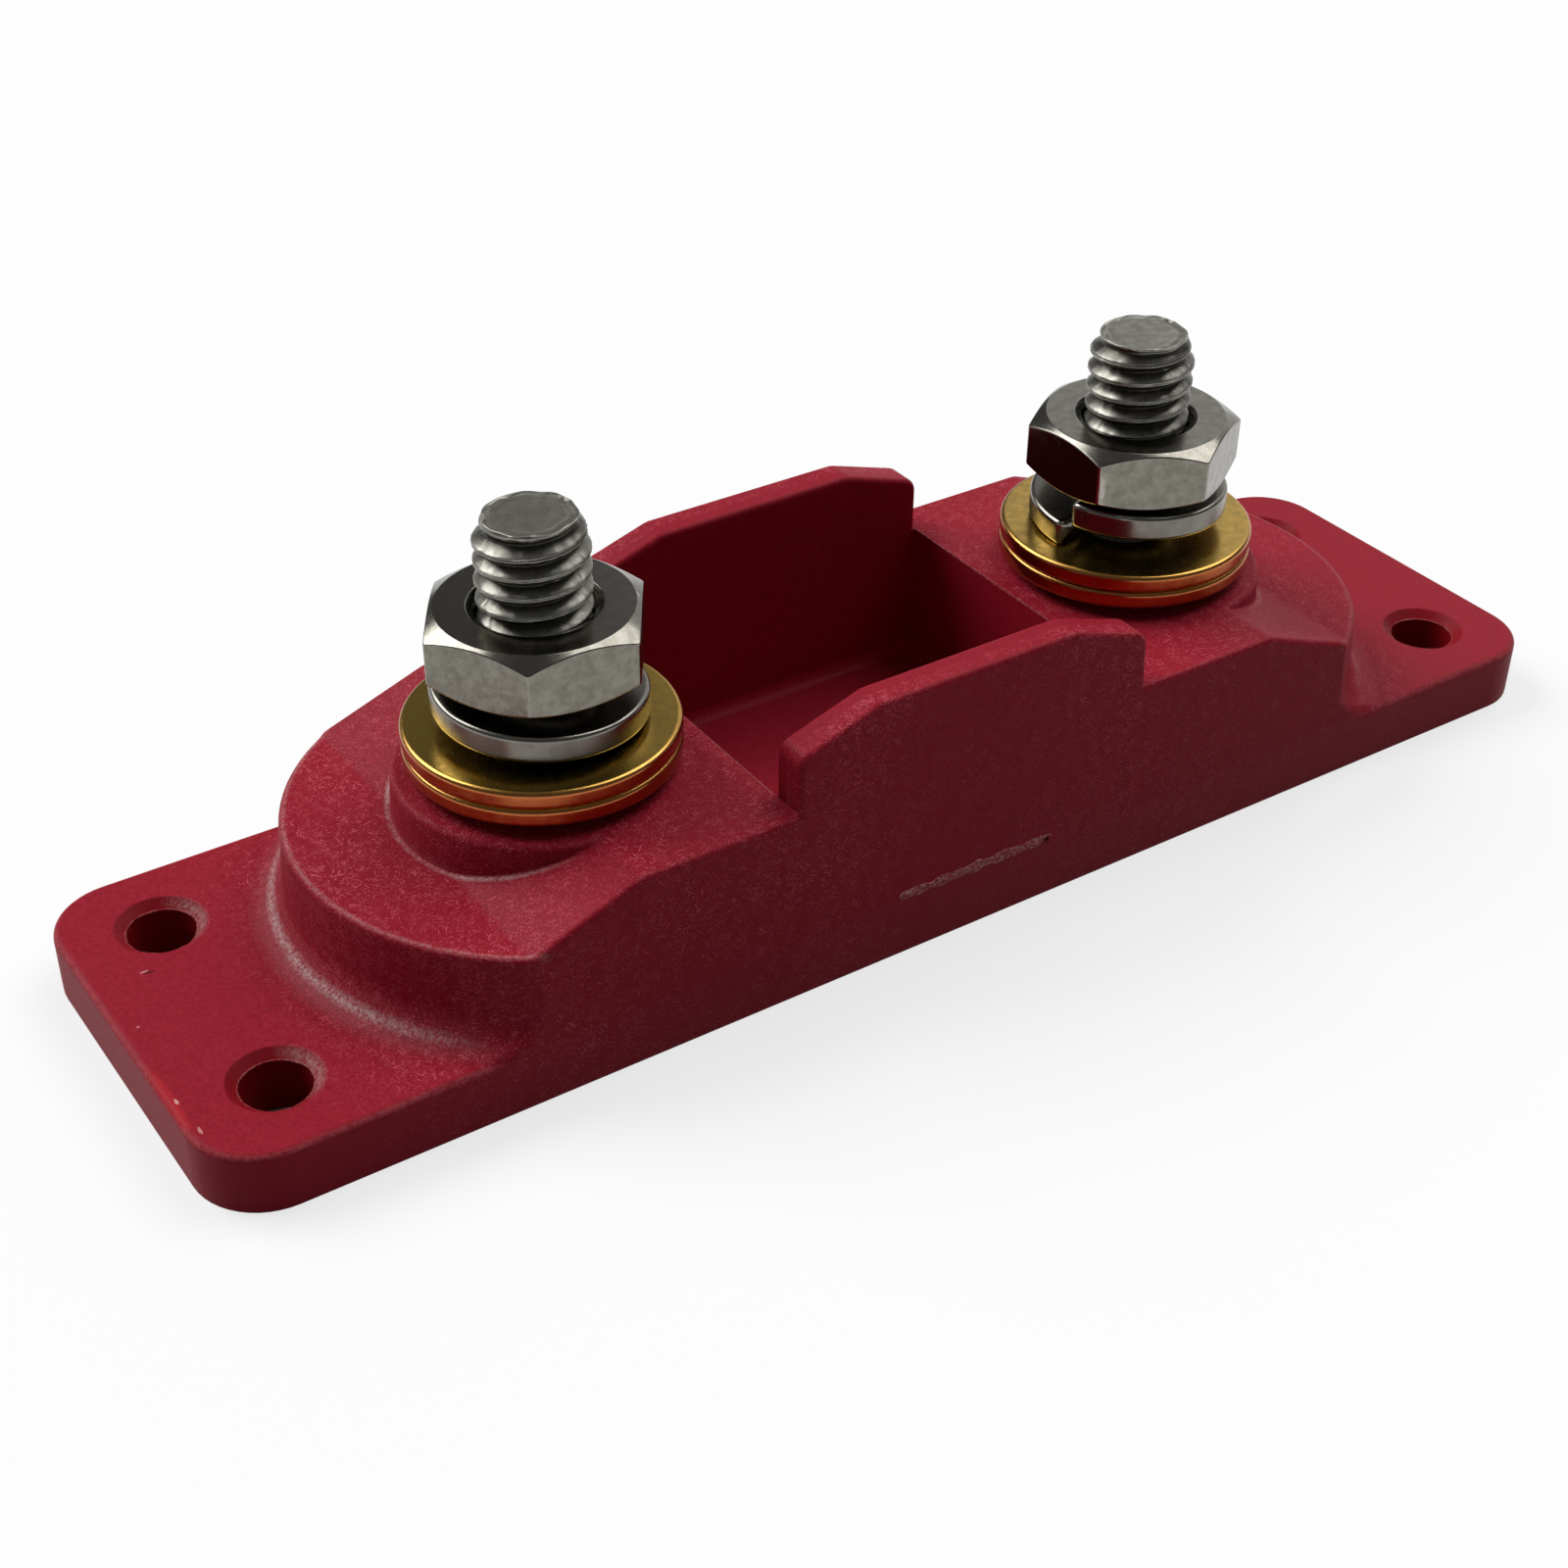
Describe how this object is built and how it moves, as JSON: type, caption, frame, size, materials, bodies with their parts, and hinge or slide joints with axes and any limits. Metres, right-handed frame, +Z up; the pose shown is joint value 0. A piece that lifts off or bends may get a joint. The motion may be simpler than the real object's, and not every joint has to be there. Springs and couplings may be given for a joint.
{
  "type": "mega fuse holder",
  "caption": "Moulded fuse holder for a bolt-down high-current fuse: screw-down base with a guarded fuse bay between threaded studs with washers, lock washers and nuts.",
  "frame": {"origin": "under the middle of the base, on the surface that it is screwed to", "axes": "+X along the base from the left stud to the right stud, +Y across the base to its far side, +Z up along the studs"},
  "size_m": [0.1144, 0.0318, 0.033],
  "materials": {
    "moulding": "satin, glass-filled moulding",
    "stud_steel": "rolled thread, satin",
    "yellow_zinc": "yellow zinc plated steel",
    "bright_steel": "polished"
  },
  "bodies": {
    "holder": {"base": "moulding", "left_stud": "stud_steel", "right_stud": "stud_steel", "left_flat_washer_lower": "yellow_zinc", "left_flat_washer_upper": "yellow_zinc", "left_lock_washer": "bright_steel", "right_flat_washer_lower": "yellow_zinc", "right_flat_washer_upper": "yellow_zinc", "right_lock_washer": "bright_steel"},
    "left_nut": {"left_nut": "bright_steel"},
    "right_nut": {"right_nut": "bright_steel"}
  },
  "joints": [
    {"name": "left_nut_slide", "type": "slide", "parent": "holder", "child": "left_nut", "axis": [0, 0, 1], "range_m": [0, 0.0116]},
    {"name": "right_nut_slide", "type": "slide", "parent": "holder", "child": "right_nut", "axis": [0, 0, 1], "range_m": [0, 0.0116]}
  ]
}
